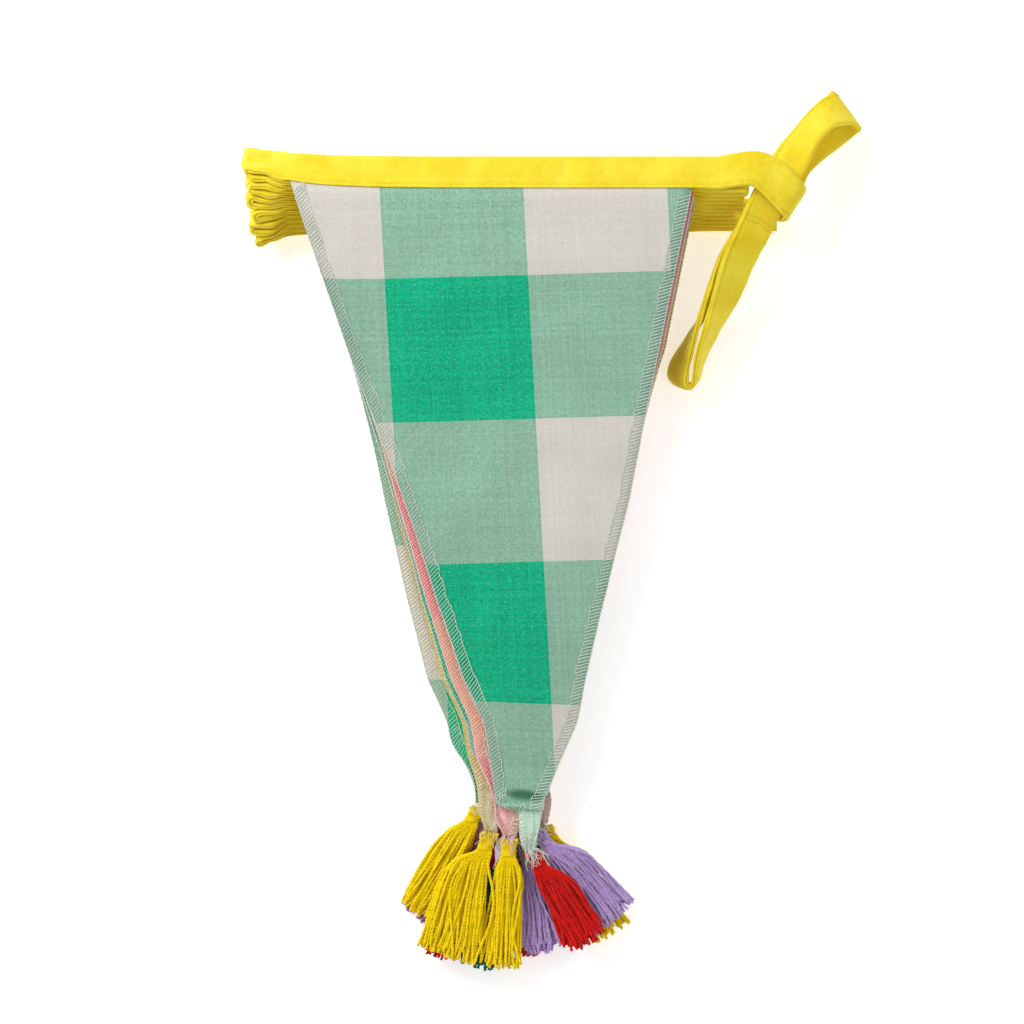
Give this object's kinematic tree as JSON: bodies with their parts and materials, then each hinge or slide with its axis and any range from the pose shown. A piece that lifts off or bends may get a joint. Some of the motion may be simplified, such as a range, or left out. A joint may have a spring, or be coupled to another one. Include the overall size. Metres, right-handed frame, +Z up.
{
  "type": "fabric bunting",
  "caption": "Folded fabric bunting: checked pennants with tasselled tips on a long tape that ties at its ends.",
  "frame": {"origin": "centre of the bounding box, on the surface that the folded pile rests on", "axes": "+X along the folded tape, towards its looped and knotted end; +Y from the pennants' tips to the tape; +Z up through the pile"},
  "size_m": [0.217, 0.309, 0.0333],
  "materials": {
    "tape": "matte",
    "gingham_green": "matte",
    "gingham_red": "matte",
    "gingham_lilac": "matte",
    "gingham_yellow": "matte",
    "yarn_red": "matte",
    "yarn_yellow": "matte",
    "yarn_lilac": "matte",
    "yarn_teal": "matte"
  },
  "bodies": {
    "root": {"tape": "tape", "pennant_01_green": "gingham_green", "pennant_02_red": "gingham_red", "pennant_03_green": "gingham_green", "pennant_04_yellow": "gingham_yellow", "pennant_05_green": "gingham_green", "pennant_06_red": "gingham_red", "pennant_07_lilac": "gingham_lilac", "pennant_08_yellow": "gingham_yellow", "pennant_09_green": "gingham_green", "pennant_10_red": "gingham_red", "pennant_11_lilac": "gingham_lilac", "pennant_12_yellow": "gingham_yellow", "tassel_01_red": "yarn_red", "tassel_02_yellow": "yarn_yellow", "tassel_03_lilac": "yarn_lilac", "tassel_04_yellow": "yarn_yellow", "tassel_05_yellow": "yarn_yellow", "tassel_06_red": "yarn_red", "tassel_07_teal": "yarn_teal", "tassel_08_lilac": "yarn_lilac", "tassel_09_red": "yarn_red", "tassel_10_yellow": "yarn_yellow", "tassel_11_teal": "yarn_teal", "tassel_12_lilac": "yarn_lilac"}
  },
  "joints": []
}
